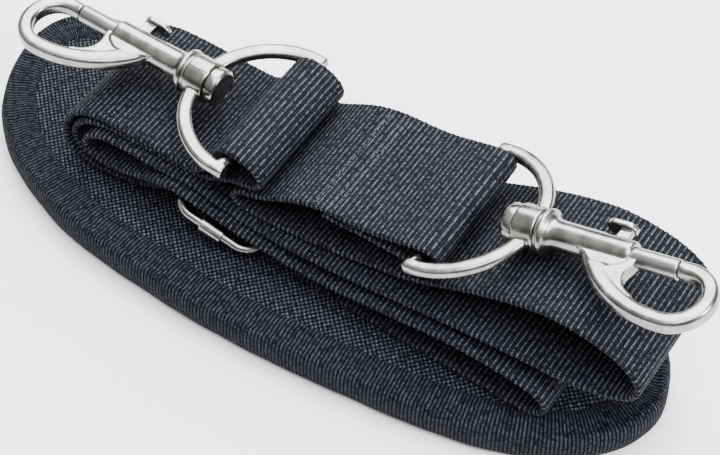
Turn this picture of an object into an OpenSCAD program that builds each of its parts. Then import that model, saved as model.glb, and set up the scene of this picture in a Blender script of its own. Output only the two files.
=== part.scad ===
// Folded carrying strap with a shoulder pad, a wire slider and two swivel bolt snap hooks.
// Millimetres, +Z up, pad underside on Z = 0.

/* [Pad] */
// Thickness of the whole pad over its binding
pad_t = 13.2; // [10:0.1:18]
// Width of the sewn binding tape, measured on the top face
binding_w = 12; // [8:0.5:16]
// Thickness of the covers and of the binding wall
cover_t = 1.3; // [0.8:0.1:2]

/* [Webbing] */
// Width of the webbing
web_w = 47; // [40:0.5:52]
// Thickness of the webbing
web_t = 2.2; // [1.6:0.1:2.8]

/* [Slider] */
// Length of the slider frame along the webbing, on wire centres
slider_len = 30; // [26:0.5:36]
// Width of the slider frame across the webbing, on wire centres
slider_w = 54; // [50:0.5:60]
// Radius of the slider wire
slider_wire_r = 1.8; // [1.4:0.1:2.4]
// Radius of the slider's centre bar
slider_bar_r = 1.7; // [1.3:0.1:2.2]
// Tilt of the slider, left end up, in degrees
slider_tilt = 10.5; // [0:0.5:15]

/* [Bow] */
// Radius of the bow on its wire centre
bow_r = 26.7; // [25:0.1:30]
// Radius of the bow wire
bow_wire_r = 2.1; // [1.6:0.1:2.6]
// Radius of the hub that the swivel post turns in
hub_r = 7; // [5.5:0.1:8.5]
// Half length of the hub
hub_half = 4; // [3:0.1:5]
// Radius of the swivel post
post_r = 3.8; // [3:0.1:4.5]
// Running clearance on a radius
run_gap = 0.05; // [0.02:0.01:0.1]

/* [Hook] */
// Radius of the hook barrel
barrel_r = 4.45; // [4:0.05:5.5]
// Radius of the spring bolt
bolt_r = 3.1; // [2.6:0.05:3.6]
// Radius of the hook bend on its wire centre
bend_r = 9.9; // [8:0.1:12]
// Radius of the hook wire at the bend
wire_r = 2.9; // [2.4:0.1:3.4]
// Distance from the hub to the nose face
nose_x = 50.3; // [46:0.1:56]
// Travel of the spring bolt
bolt_travel = 9.5; // [7:0.5:10]

/* [Placing] */
// Tilt of the right hook above level, in degrees
right_pitch = 18.5; // [0:0.5:25]

/* [Hidden] */
$fn = 48;
fabric = [0.10, 0.11, 0.13];
trim = [0.13, 0.14, 0.16];
plate = [0.72, 0.70, 0.66];
steel = [0.62, 0.62, 0.60];
left_hub_at = [-45.2, 7.6, 51];
left_yaw = -1.5;
right_hub_at = [76.3, 8.5, 59];
right_yaw = -1;
slider_at = [-22, 5, 19.6];

// Pad outline, counter-clockwise seen from above
pad_edge = [
    [-117, -17], [-104, -27.5], [-79, -38.2], [-54, -43], [-20, -45.4], [10, -45], [40, -42.4],
    [68, -38.8], [90, -34], [110, -25], [122.5, -13], [128.6, 1], [127, 13], [120, 25], [107, 34],
    [85, 39], [50, 41.6], [10, 42.4], [-30, 42.8], [-70, 43], [-100, 42], [-117.5, 38.6],
    [-127, 31], [-130.8, 20], [-129.6, 8], [-124.8, -5.4]
];

// Folded webbing, one centre line from end to end: x, z, and the middle of its width in y
web_path = [
    [16.01, 46.1, 9], [30.42, 46.37, 9], [46.03, 46.39, 8.85], [49.58, 46.51, 8.85],
    [51.35, 46.72, 8.85], [53.1, 47.12, 8.85], [53.95, 47.45, 8.85], [54.77, 47.91, 8.85],
    [55.53, 48.53, 8.85], [56.17, 49.35, 8.85], [56.62, 50.38, 8.85], [56.79, 51.55, 8.85],
    [56.62, 52.71, 8.85], [56.16, 53.72, 8.85], [55.47, 54.46, 8.85], [54.65, 54.94, 8.85],
    [53.79, 55.18, 8.85], [52.9, 55.25, 8.85], [51.13, 55.06, 8.85], [49.37, 54.64, 8.85],
    [47.04, 54.05, 8.8], [44.75, 53.33, 8.8], [40.22, 51.73, 9], [37.93, 50.99, 9], [35.61, 50.37, 9],
    [33.26, 49.88, 9], [30.89, 49.52, 9], [27.3, 49.16, 9], [20.11, 48.82, 9], [16.52, 48.54, 9],
    [12.95, 48.03, 8.9], [9.45, 47.21, 8.8], [7.16, 46.47, 8.8], [4.93, 45.59, 8.7],
    [1.68, 44.03, 8.6], [-3.61, 41.21, 8.3], [-5.76, 40.15, 8.2], [-7.97, 39.2, 8.1],
    [-10.23, 38.41, 8], [-13.71, 37.46, 7.9], [-14.85, 37.1, 7.8], [-15.95, 36.63, 7.8],
    [-16.94, 35.97, 7.7], [-17.68, 35.04, 7.7], [-18, 33.91, 7.6], [-17.77, 32.75, 7.5],
    [-17.08, 31.79, 7.5], [-16.09, 31.12, 7.5], [-14.97, 30.7, 7.5], [-13.8, 30.47, 7.5],
    [-12.61, 30.34, 7.5], [-10.21, 30.22, 7.5], [-3, 30.02, 7.7], [1.8, 30.06, 7.9], [7.8, 30.36, 8.1],
    [13.78, 30.87, 8.4], [19.74, 31.63, 8.5], [31.57, 33.65, 9], [39.9, 34.79, 9.4],
    [43.45, 35.43, 9.5], [45.79, 35.97, 9.6], [49.24, 37, 9.7], [53.73, 38.71, 9.9],
    [66.87, 44.62, 10.2], [74.62, 47.85, 10.2], [81.37, 50.39, 10.2], [87.07, 52.27, 10.1],
    [90.54, 53.24, 10], [92.88, 53.77, 10], [95.25, 54.19, 9.9], [97.63, 54.51, 9.7],
    [101.22, 54.78, 9.5], [103.62, 54.82, 9.3], [106.02, 54.76, 9.1], [108.41, 54.56, 9],
    [111.97, 54, 8.8], [114.3, 53.43, 8.7], [115.45, 53.08, 8.6], [117.7, 52.24, 8.5],
    [118.8, 51.74, 8.4], [120.91, 50.61, 8.2], [121.92, 49.96, 8.1], [122.89, 49.24, 8],
    [123.79, 48.46, 7.9], [124.62, 47.59, 7.8], [125.34, 46.63, 7.7], [125.91, 45.58, 7.6],
    [126.29, 44.44, 7.5], [126.45, 43.26, 7.3], [126.37, 42.06, 7.2], [126.05, 40.91, 7.1],
    [125.51, 39.85, 7], [124.77, 38.9, 6.9], [123.89, 38.09, 6.8], [122.9, 37.42, 6.7],
    [121.84, 36.86, 6.6], [120.73, 36.4, 6.5], [119.59, 36.03, 6.3], [117.25, 35.45, 6.1],
    [113.7, 34.86, 5.7], [108.93, 34.31, 5.3], [104.14, 34.02, 5], [101.74, 33.98, 4.9],
    [98.13, 34.04, 4.8], [86.14, 34.57, 4.3], [83.74, 34.57, 4.2], [80.14, 34.44, 4.1],
    [74.15, 33.99, 4.1], [65.78, 33.18, 4], [59.82, 32.49, 4], [47.9, 30.99, 4], [33.59, 29.34, 4],
    [24.01, 28.54, 4], [8.43, 27.68, 4], [-1.18, 27.33, 4.2], [-5.98, 27.27, 4.4], [-9.58, 27.47, 4.4],
    [-14.34, 28.09, 4.5], [-19.06, 29, 4.5], [-28.42, 31.17, 4.6], [-30.79, 31.58, 4.6],
    [-33.18, 31.87, 4.6], [-37.98, 32.15, 4.5], [-41.57, 32.11, 4.5], [-45.17, 32.2, 4.4],
    [-55.94, 33, 4.2], [-59.54, 33.17, 4.1], [-63.14, 33.15, 4.1], [-65.54, 32.98, 4],
    [-67.92, 32.63, 3.9], [-69.09, 32.37, 3.8], [-70.24, 32.03, 3.7], [-71.36, 31.61, 3.6],
    [-72.43, 31.06, 3.4], [-73.41, 30.37, 3.3], [-74.26, 29.53, 3.1], [-74.9, 28.52, 3],
    [-75.26, 27.38, 2.8], [-75.27, 26.19, 2.7], [-74.93, 25.05, 2.5], [-74.28, 24.05, 2.4],
    [-73.38, 23.26, 2.4], [-72.33, 22.69, 2.3], [-71.19, 22.33, 2.2], [-70.01, 22.13, 2.2],
    [-68.81, 22.05, 2.1], [-66.41, 22.14, 2], [-62.84, 22.62, 1.8], [-60.49, 23.11, 1.6],
    [-58.16, 23.73, 1.5], [-54.73, 24.83, 1.5], [-44.54, 28.48, 1.2], [-41.08, 29.46, 1.1],
    [-39.9, 29.7, 1], [-38.7, 29.85, 1], [-37.5, 29.87, 1], [-35.1, 29.75, 1], [-32.71, 29.52, 1],
    [-30.33, 29.17, 1], [-27.98, 28.7, 1], [-22.14, 27.3, 1], [-17.44, 26.28, 1], [-13.9, 25.6, 1],
    [-9.16, 24.83, 1], [1.56, 23.45, 1], [8.73, 22.78, 1], [12.33, 22.63, 1], [14.73, 22.64, 1],
    [17.13, 22.73, 1], [20.73, 22.98, 1], [26.7, 23.62, 1], [36.2, 25.02, 1], [48.1, 26.62, 1],
    [57.64, 27.77, 1], [64.82, 28.36, 1], [68.42, 28.53, 1], [72.02, 28.59, 1], [75.63, 28.54, 1],
    [80.43, 28.3, 1], [84.02, 28, 1], [87.6, 27.59, 1], [91.16, 27.04, 1], [94.68, 26.28, 1],
    [96.95, 25.51, 1], [98.03, 24.99, 1], [99.04, 24.34, 1], [99.93, 23.54, 1], [100.66, 22.59, 1],
    [101.15, 21.51, 1], [101.36, 20.33, 1], [101.25, 19.14, 1], [100.82, 18.03, 1], [100.14, 17.05, 1],
    [99.25, 16.24, 1], [98.23, 15.62, 1], [97.13, 15.15, 1], [95.98, 14.81, 1], [93.61, 14.43, 1],
    [90.01, 14.24, 1], [76.8, 14.31, 1.3], [62.39, 14.38, 1.5], [40.77, 14.59, 2.2], [25.16, 14.57, 3],
    [13.16, 14.63, 4], [9.56, 14.84, 4.3], [7.19, 15.17, 4.5], [4.85, 15.71, 4.7], [2.57, 16.47, 4.9],
    [-2.92, 18.89, 5], [-4.04, 19.31, 5], [-5.19, 19.64, 5], [-6.37, 19.84, 5], [-7.57, 19.86, 5],
    [-8.76, 19.66, 5], [-9.9, 19.3, 5], [-10.99, 18.82, 5], [-16.21, 15.85, 5], [-18.44, 14.96, 5],
    [-19.6, 14.65, 5], [-20.78, 14.45, 5], [-21.98, 14.39, 5], [-23.18, 14.47, 5], [-24.35, 14.74, 5],
    [-25.47, 15.17, 5], [-26.53, 15.73, 5], [-27.52, 16.4, 5], [-28.45, 17.16, 5], [-30.14, 18.87, 5],
    [-31.65, 20.74, 5], [-33.78, 23.64, 5], [-34.65, 24.47, 5], [-35.69, 25.06, 5], [-36.86, 25.28, 5],
    [-38.06, 25.23, 5], [-39.24, 25.02, 5], [-40.39, 24.67, 5], [-41.5, 24.22, 5],
    [-47.86, 20.83, 4.6], [-50.04, 19.81, 4.5], [-52.27, 18.92, 4.4], [-54.55, 18.16, 4.3],
    [-58.03, 17.23, 4.1], [-60.38, 16.73, 4], [-63.94, 16.12, 3.9], [-68.7, 15.48, 3.8],
    [-72.28, 15.1, 3.8], [-74.68, 14.98, 3.9], [-77.07, 15.1, 4], [-78.26, 15.29, 4.1],
    [-79.42, 15.59, 4.2], [-80.54, 16.01, 4.3], [-81.6, 16.57, 4.4], [-82.58, 17.27, 4.5],
    [-83.44, 18.1, 4.6], [-84.15, 19.06, 4.7], [-84.71, 20.12, 4.8], [-85.09, 21.26, 4.9],
    [-85.32, 22.44, 5], [-85.4, 23.63, 5.1], [-85.37, 24.83, 5.2], [-85.23, 26.02, 5.3],
    [-85, 27.2, 5.4], [-84.3, 29.49, 5.6], [-83.81, 30.59, 5.8], [-83.23, 31.64, 5.9],
    [-82.56, 32.64, 6], [-81.8, 33.56, 6.1], [-80.94, 34.4, 6.2], [-80.01, 35.15, 6.3],
    [-79, 35.8, 6.4], [-77.93, 36.34, 6.6], [-76.81, 36.78, 6.74], [-74.5, 37.42, 6.86],
    [-72.13, 37.81, 7.03], [-68.54, 38.04, 7.1], [-62.53, 37.97, 7.2], [-56.54, 37.7, 7.23],
    [-46.96, 37, 7.23], [-42.16, 36.78, 7.19], [-36.16, 36.76, 7.16], [-34.96, 36.81, 7.12],
    [-33.78, 36.99, 7.1], [-32.62, 37.3, 7.1], [-31.53, 37.78, 7.1], [-30.51, 38.41, 7.1],
    [-29.59, 39.19, 7.1], [-28.78, 40.07, 7.1], [-27.87, 41.04, 7.1], [-26.55, 43.13, 7.1],
    [-24.11, 48.61, 7.1], [-23.44, 50.78, 7.1], [-22.83, 51.87, 7.1], [-22.09, 52.88, 7.1],
    [-21.23, 53.78, 7.1], [-20.19, 54.49, 7.1], [-19, 54.9, 7.1], [-17.77, 55.07, 7.1],
    [-16.53, 55.08, 7.1], [-15.33, 54.97, 7.1], [-14.14, 54.74, 7.1], [-12.97, 54.45, 7.1],
    [-11.84, 54.04, 7.1], [-10.75, 53.52, 7.1], [-9.74, 52.88, 7.1], [-8.81, 52.13, 7.1],
    [-7.99, 51.24, 7.1], [-7.34, 50.24, 7.12], [-6.88, 49.13, 7.17], [-6.68, 47.95, 7.22],
    [-6.75, 46.76, 7.27], [-7.13, 45.63, 7.31], [-7.77, 44.62, 7.36], [-8.62, 43.78, 7.41],
    [-9.61, 43.12, 7.46], [-10.7, 42.6, 7.5], [-11.83, 42.21, 7.55], [-17.62, 40.67, 7.6],
    [-19.86, 39.81, 7.6], [-22, 38.74, 7.6], [-25.11, 36.92, 7.6], [-27.23, 35.8, 7.6],
    [-29.46, 34.93, 7.5], [-30.62, 34.64, 7.5], [-31.8, 34.45, 7.5], [-33, 34.35, 7.5],
    [-43.79, 34.51, 7.3], [-47.38, 34.7, 7.2], [-56.96, 35.4, 7], [-62.95, 35.63, 6.9],
    [-67.75, 35.56, 6.7], [-70.14, 35.33, 6.6], [-71.33, 35.13, 6.5], [-73.65, 34.53, 6.3],
    [-74.78, 34.12, 6.3], [-75.87, 33.61, 6.2], [-76.91, 33.02, 6.1], [-77.9, 32.34, 6],
    [-78.81, 31.55, 5.9], [-79.63, 30.68, 5.8], [-80.36, 29.73, 5.7], [-80.97, 28.7, 5.7],
    [-81.44, 27.59, 5.6], [-81.75, 26.44, 5.5], [-81.88, 25.25, 5.4], [-81.81, 24.05, 5.2],
    [-81.51, 22.89, 5.1], [-81.01, 21.81, 5], [-80.32, 20.83, 4.9], [-79.46, 19.99, 4.8],
    [-78.48, 19.3, 4.8], [-77.41, 18.76, 4.7], [-76.28, 18.37, 4.7], [-75.12, 18.09, 4.6],
    [-73.93, 17.92, 4.6], [-72.73, 17.85, 4.6], [-70.33, 17.91, 4.6], [-66.76, 18.36, 4.6],
    [-62.05, 19.28, 4.6], [-57.4, 20.47, 4.8], [-53.96, 21.53, 4.9], [-51.7, 22.33, 4.9],
    [-48.39, 23.73, 5], [-43, 26.33, 5], [-40.74, 27.12, 5], [-39.57, 27.38, 5], [-38.39, 27.54, 5],
    [-37.19, 27.58, 5], [-36, 27.51, 5], [-34.82, 27.32, 5], [-33.66, 27.03, 5], [-32.53, 26.64, 5],
    [-29.24, 25.2, 5], [-27.05, 24.23, 5], [-25.92, 23.85, 5], [-22.42, 23, 5], [-21.29, 22.63, 5],
    [-20.24, 22.05, 5], [-19.39, 21.22, 5], [-18.89, 20.15, 5], [-18.88, 18.97, 5], [-19.37, 17.9, 5],
    [-20.27, 17.13, 5], [-21.4, 16.75, 5], [-22.59, 16.74, 5], [-23.76, 17, 5], [-24.86, 17.48, 5],
    [-25.88, 18.11, 5], [-26.82, 18.85, 5], [-27.69, 19.67, 5], [-29.28, 21.47, 5], [-30.73, 23.4, 5]
];

function blend4(a, b, c, d, t) = 0.5 * (2 * b + (c - a) * t + (2 * a - 5 * b + 4 * c - d) * t * t
    + (3 * b - a - 3 * c + d) * t * t * t);
function closed_curve(c, n) = let (m = len(c)) [for (i = [0 : m - 1]) for (k = [0 : n - 1])
    blend4(c[(i + m - 1) % m], c[i], c[(i + 1) % m], c[(i + 2) % m], k / n)];
function inset(c, d) = let (m = len(c)) [for (i = [0 : m - 1])
    let (v = c[(i + 1) % m] - c[(i + m - 1) % m], u = v / norm(v)) c[i] + d * [-u[1], u[0]]];
pad_curve = closed_curve(pad_edge, 4);

function web_dir(i) = let (a = web_path[max(i - 1, 0)], b = web_path[min(i + 1, len(web_path) - 1)],
    v = [b[0] - a[0], b[1] - a[1]]) v / norm(v);
function web_corner(i, side, face) = let (p = web_path[i], u = web_dir(i))
    [p[0] - u[1] * face * web_t / 2, p[2] + side * web_w / 2, p[1] + u[0] * face * web_t / 2];

// A stretch of the webbing between two stations of its path
module webbing(first, last) {
    n = last - first;
    points = [for (i = [first : last]) each [web_corner(i, -1, -1), web_corner(i, 1, -1),
        web_corner(i, 1, 1), web_corner(i, -1, 1)]];
    faces = [[0, 1, 2, 3], [4 * n + 3, 4 * n + 2, 4 * n + 1, 4 * n],
        for (k = [0 : n - 1]) for (s = [0 : 3])
            [4 * k + s, 4 * (k + 1) + s, 4 * (k + 1) + (s + 1) % 4, 4 * k + (s + 1) % 4]];
    color(fabric) polyhedron(points, faces, convexity = 8);
}

module pad_slab(z0, z1, d) {
    translate([0, 0, z0]) linear_extrude(z1 - z0) polygon(inset(pad_curve, d));
}

module pad_foam() {
    color(trim) pad_slab(cover_t, pad_t - 1.8, 2);
}

module pad_top_cover() {
    color(fabric) pad_slab(pad_t - 1.8, pad_t - 0.3, binding_w);
}

module pad_base_cover() {
    color(fabric) pad_slab(0, cover_t, binding_w);
}

module pad_binding() {
    color(trim) union() {
        difference() {
            pad_slab(cover_t, pad_t - 1.8, 0);
            pad_slab(cover_t - 1, pad_t, 2);
        }
        difference() {
            pad_slab(0, cover_t, 0.8);
            pad_slab(-1, cover_t + 1, binding_w);
        }
        difference() {
            pad_slab(pad_t - 1.8, pad_t, 0.8);
            pad_slab(pad_t - 3, pad_t + 1, binding_w);
        }
    }
}

module at_slider() {
    translate(slider_at) rotate([0, slider_tilt, 0]) children();
}

// Rounded frame of bent wire
module slider_frame() {
    r = 6;
    lx = slider_len / 2;
    ly = slider_w / 2;
    color(plate) at_slider() {
        for (sx = [-1, 1]) {
            translate([sx * lx, 0, 0]) rotate([90, 0, 0])
                cylinder(r = slider_wire_r, h = 2 * (ly - r), center = true);
            for (sy = [-1, 1]) translate([sx * (lx - r), sy * (ly - r), 0])
                rotate([0, 0, sx > 0 ? (sy > 0 ? 0 : -90) : (sy > 0 ? 90 : 180)])
                    rotate_extrude(angle = 90) translate([r, 0]) circle(r = slider_wire_r);
        }
        for (sy = [-1, 1]) translate([0, sy * ly, 0]) rotate([0, 90, 0])
            cylinder(r = slider_wire_r, h = 2 * (lx - r), center = true);
    }
}

// Centre bar with a sleeve crimped round the frame at each end
module slider_bar() {
    ly = slider_w / 2;
    color(plate) at_slider() difference() {
        union() {
            rotate([90, 0, 0]) cylinder(r = slider_bar_r, h = 2 * ly - 4, center = true);
            for (sy = [-1, 1]) translate([0, sy * ly, 0]) rotate([0, 90, 0])
                cylinder(r = slider_wire_r + 1.1, h = 8, center = true);
        }
        for (sy = [-1, 1]) translate([0, sy * ly, 0]) rotate([0, 90, 0])
            cylinder(r = slider_wire_r, h = 10, center = true);
    }
}

module at_left_hub() {
    translate(left_hub_at) rotate([0, 0, left_yaw]) rotate([0, 180, 0]) children();
}

module at_right_hub() {
    translate(right_hub_at) rotate([0, 0, right_yaw]) rotate([0, -right_pitch, 0]) children();
}

// Swivel bow: cross bar, half ring and hub, seen from the hub with the hook along +X
module bow() {
    difference() {
        union() {
            translate([-bow_r, 0, 0]) rotate([0, 0, -90]) rotate_extrude(angle = 180)
                translate([bow_r, 0]) circle(r = bow_wire_r);
            translate([-bow_r, 0, 0]) rotate([90, 0, 0])
                cylinder(r = bow_wire_r, h = 2 * bow_r, center = true);
            for (s = [-1, 1]) translate([-bow_r, s * bow_r, 0]) sphere(r = bow_wire_r);
            translate([-hub_half, 0, 0]) rotate([0, 90, 0]) cylinder(r = hub_r, h = 2 * hub_half);
        }
        translate([-hub_half - 6, 0, 0]) rotate([0, 90, 0])
            cylinder(r = post_r + run_gap, h = 2 * hub_half + 12);
    }
}

// Peened head that keeps the post in the hub
module swivel_cap() {
    x0 = -hub_half - 0.15;
    translate([x0 - 2.6, 0, 0]) rotate([0, 90, 0]) cylinder(r = 6.1, h = 2.6);
    translate([x0 - 4.2, 0, 0]) rotate([0, 90, 0]) cylinder(r1 = 4.1, r2 = 6.1, h = 1.6);
}

module swivel_washer() {
    translate([hub_half + 0.15, 0, 0]) rotate([0, 90, 0]) difference() {
        cylinder(r = 6.4, h = 0.85);
        translate([0, 0, -1]) cylinder(r = post_r, h = 3);
    }
}

// Post, flange, barrel, web and bend of the snap hook in one casting
module hook_body() {
    flange_x = hub_half + 1;
    barrel_x = 9.4;
    barrel_end = 35;
    cx = nose_x + 3.3;
    back_r = 36.9;
    back_y = back_r - 2 * bend_r;
    eye_r = 12.6;
    difference() {
        union() {
            translate([-hub_half - 0.15, 0, 0]) rotate([0, 90, 0])
                cylinder(r = post_r, h = flange_x + hub_half + 0.65);
            translate([flange_x, 0, 0]) rotate([0, 90, 0]) cylinder(r = 7.7, h = 2.6);
            translate([flange_x + 2.6, 0, 0]) rotate([0, 90, 0])
                cylinder(r1 = 7.1, r2 = barrel_r, h = barrel_x - flange_x - 1.4);
            translate([barrel_x, 0, 0]) rotate([0, 90, 0])
                cylinder(r = barrel_r, h = barrel_end - barrel_x);
            translate([cx, back_y, 0]) rotate([0, 0, 213]) rotate_extrude(angle = 57)
                translate([back_r, 0]) circle(r = wire_r);
            difference() {
                intersection() {
                    translate([cx, back_y, -1.7]) cylinder(r = back_r, h = 3.4, $fn = 96);
                    translate([20, -19, -2]) cube([24, 18, 4]);
                }
                translate([cx - 3.5, -bend_r, -3]) cylinder(r = eye_r, h = 6, $fn = 96);
            }
            translate([cx, -2 * bend_r, 0]) sphere(r = wire_r + 0.12);
            translate([cx, -bend_r, 0]) rotate([0, 0, -90]) rotate_extrude(angle = 180)
                translate([bend_r, 0]) circle(r = wire_r);
            translate([nose_x, 0, 0]) rotate([0, 90, 0]) cylinder(r = wire_r, h = cx - nose_x);
            translate([nose_x, 0, 0]) rotate([0, 90, 0]) cylinder(r = bolt_r, h = 1.6);
        }
        translate([10.6, 0, 0]) rotate([0, 90, 0]) cylinder(r = bolt_r + run_gap, h = nose_x - 10.6);
        translate([16, 0, -2]) cube([14.3, 8, 4]);
    }
}

// Spring bolt that closes the gate, drilled from behind for its spring
module bolt() {
    difference() {
        translate([22, 0, 0]) rotate([0, 90, 0]) cylinder(r = bolt_r, h = nose_x - 0.3 - 22);
        translate([21, 0, 0]) rotate([0, 90, 0]) cylinder(r = 2.3, h = 13);
    }
}

// Thumb tab: flat stem through the barrel slot and an oval plate, dished on top, reaching towards the hub
module thumb_tab() {
    x = 28;
    difference() {
        union() {
            translate([x - 2.1, 2.4, -1.1]) cube([4.2, 6.6, 2.2]);
            for (c = [x - 4.4, x + 0.2])
                translate([c, 8.4, 0]) rotate([-90, 0, 0]) cylinder(r = 2.7, h = 1.8);
            translate([x - 4.4, 8.4, -2.7]) cube([4.6, 1.8, 5.4]);
        }
        for (c = [x - 4.4, x + 0.2])
            translate([c, 9.7, 0]) rotate([-90, 0, 0]) cylinder(r = 1.7, h = 2);
        translate([x - 4.4, 9.7, -1.7]) cube([4.6, 2, 3.4]);
        translate([x - 4, 0, 0]) rotate([0, 90, 0]) cylinder(r = bolt_r, h = 8);
    }
}

// Compression spring in the barrel and the drilled bolt
module bolt_spring() {
    turns = 8;
    steps = 14;
    x0 = 11.3;
    x1 = 33.3;
    r = 1.75;
    w = 0.35;
    n = turns * steps;
    points = [for (i = [0 : n]) let (a = 360 * i / steps, x = x0 + (x1 - x0) * i / n)
        for (k = [0 : 5]) let (q = r + w * cos(60 * k)) [x + w * sin(60 * k), q * cos(a), q * sin(a)]];
    faces = [[for (k = [5 : -1 : 0]) k], [for (k = [0 : 5]) 6 * n + k],
        for (i = [0 : n - 1]) for (k = [0 : 5])
            [6 * i + (k + 1) % 6, 6 * (i + 1) + (k + 1) % 6, 6 * (i + 1) + k, 6 * i + k]];
    polyhedron(points, faces, convexity = 10);
}

module left_bow() {
    color(plate) at_left_hub() bow();
}

module left_hook_body() {
    color(plate) at_left_hub() hook_body();
}

module left_swivel_cap() {
    color(plate) at_left_hub() swivel_cap();
}

module left_swivel_washer() {
    color(steel) at_left_hub() swivel_washer();
}

module left_bolt() {
    color(plate) at_left_hub() bolt();
}

module left_thumb_tab() {
    color(plate) at_left_hub() thumb_tab();
}

module left_bolt_spring() {
    color(steel) at_left_hub() bolt_spring();
}

module right_bow() {
    color(plate) at_right_hub() bow();
}

module right_hook_body() {
    color(plate) at_right_hub() hook_body();
}

module right_swivel_cap() {
    color(plate) at_right_hub() swivel_cap();
}

module right_swivel_washer() {
    color(steel) at_right_hub() swivel_washer();
}

module right_bolt() {
    color(plate) at_right_hub() bolt();
}

module right_thumb_tab() {
    color(plate) at_right_hub() thumb_tab();
}

module right_bolt_spring() {
    color(steel) at_right_hub() bolt_spring();
}

module strap_right_tail() {
    webbing(0, 4);
}

module strap_right_loop() {
    webbing(4, 18);
}

module strap_top_run() {
    webbing(18, 38);
}

module strap_hidden_fold() {
    webbing(38, 51);
}

module strap_upper_run_left() {
    webbing(51, 60);
}

module strap_upper_run_right() {
    webbing(60, 74);
}

module strap_upper_right_fold() {
    webbing(74, 101);
}

module strap_middle_run_right() {
    webbing(101, 110);
}

module strap_middle_run_left() {
    webbing(110, 128);
}

module strap_inner_left_fold() {
    webbing(128, 146);
}

module strap_lower_run_left() {
    webbing(146, 171);
}

module strap_lower_run_right() {
    webbing(171, 184);
}

module strap_lower_right_fold() {
    webbing(184, 198);
}

module strap_base_run() {
    webbing(198, 207);
}

module strap_slider_weave() {
    webbing(207, 239);
}

module strap_adjust_run() {
    webbing(239, 247);
}

module strap_outer_left_fold() {
    webbing(247, 273);
}

module strap_outer_run() {
    webbing(273, 281);
}

module strap_left_loop() {
    webbing(281, 322);
}

module strap_return_run() {
    webbing(322, 331);
}

module strap_middle_left_fold() {
    webbing(331, 354);
}

module strap_slider_run() {
    webbing(354, 371);
}

module strap_slider_end() {
    webbing(371, 390);
}

pad_foam();
pad_top_cover();
pad_base_cover();
pad_binding();
strap_right_tail();
strap_right_loop();
strap_top_run();
strap_hidden_fold();
strap_upper_run_left();
strap_upper_run_right();
strap_upper_right_fold();
strap_middle_run_right();
strap_middle_run_left();
strap_inner_left_fold();
strap_lower_run_left();
strap_lower_run_right();
strap_lower_right_fold();
strap_base_run();
strap_slider_weave();
strap_adjust_run();
strap_outer_left_fold();
strap_outer_run();
strap_left_loop();
strap_return_run();
strap_middle_left_fold();
strap_slider_run();
strap_slider_end();
slider_frame();
slider_bar();
left_bow();
left_hook_body();
left_swivel_cap();
left_swivel_washer();
left_bolt();
left_thumb_tab();
left_bolt_spring();
right_bow();
right_hook_body();
right_swivel_cap();
right_swivel_washer();
right_bolt();
right_thumb_tab();
right_bolt_spring();
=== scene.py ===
import math

import bmesh
import bpy
import numpy as np
from mathutils import Matrix, Vector


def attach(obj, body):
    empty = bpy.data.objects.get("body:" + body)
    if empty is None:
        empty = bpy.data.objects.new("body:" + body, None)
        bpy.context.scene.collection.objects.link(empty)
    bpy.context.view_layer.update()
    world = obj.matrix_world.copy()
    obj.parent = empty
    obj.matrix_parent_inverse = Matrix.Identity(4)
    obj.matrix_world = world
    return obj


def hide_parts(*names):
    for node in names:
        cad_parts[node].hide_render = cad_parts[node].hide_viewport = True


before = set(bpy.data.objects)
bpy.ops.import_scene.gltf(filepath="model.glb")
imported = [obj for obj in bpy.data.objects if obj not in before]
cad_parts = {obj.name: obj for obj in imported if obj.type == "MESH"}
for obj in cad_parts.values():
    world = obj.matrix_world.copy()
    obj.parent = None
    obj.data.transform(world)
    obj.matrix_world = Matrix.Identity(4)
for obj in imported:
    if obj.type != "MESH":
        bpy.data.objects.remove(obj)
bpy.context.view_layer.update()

MM = 0.001

# ------------------------------------------------------------------ camera, floor and light
VIEW_AZIMUTH = math.radians(33.5)
VIEW_ELEVATION = math.radians(53)
VIEW_DISTANCE = 0.620
VIEW_TARGET = Vector((0.015, 0.008, 0.015))
VIEW_LENS = 95


def make_camera():
    a, e = VIEW_AZIMUTH, VIEW_ELEVATION
    back = Vector((math.sin(a) * math.cos(e), -math.cos(a) * math.cos(e), math.sin(e)))
    data = bpy.data.cameras.new("camera")
    data.lens = VIEW_LENS
    data.sensor_width = 36
    data.clip_start = 0.01
    cam = bpy.data.objects.new("camera", data)
    cam.location = VIEW_TARGET + back * VIEW_DISTANCE
    cam.rotation_euler = back.to_track_quat("Z", "Y").to_euler()
    bpy.context.scene.collection.objects.link(cam)
    bpy.context.scene.camera = cam


def area_light(name, place, aim, size, power):
    data = bpy.data.lights.new(name, "AREA")
    data.shape = "SQUARE"
    data.size = size
    data.energy = power
    light = bpy.data.objects.new(name, data)
    light.location = place
    light.rotation_euler = (Vector(place) - Vector(aim)).to_track_quat("Z", "Y").to_euler()
    bpy.context.scene.collection.objects.link(light)


def make_world():
    """Light from above that falls off to a dark horizon, which gives the metal its dark reflections."""
    world = bpy.data.worlds.new("studio")
    world.use_nodes = True
    tree = world.node_tree
    coord = tree.nodes.new("ShaderNodeTexCoord")
    split = tree.nodes.new("ShaderNodeSeparateXYZ")
    ramp = tree.nodes.new("ShaderNodeValToRGB")
    tree.links.new(coord.outputs["Generated"], split.inputs[0])
    tree.links.new(split.outputs[2], ramp.inputs[0])
    stops = ramp.color_ramp.elements
    stops[0].position, stops[0].color = 0.0, (0.06, 0.06, 0.065, 1)
    stops[1].position, stops[1].color = 1.0, (1.0, 1.0, 1.0, 1)
    for place, grey in ((0.18, 0.10), (0.34, 0.42), (0.6, 0.9)):
        stops.new(place).color = (grey, grey, grey * 1.01, 1)
    tree.links.new(ramp.outputs[0], tree.nodes["Background"].inputs["Color"])
    tree.nodes["Background"].inputs["Strength"].default_value = 0.9
    bpy.context.scene.world = world


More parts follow.
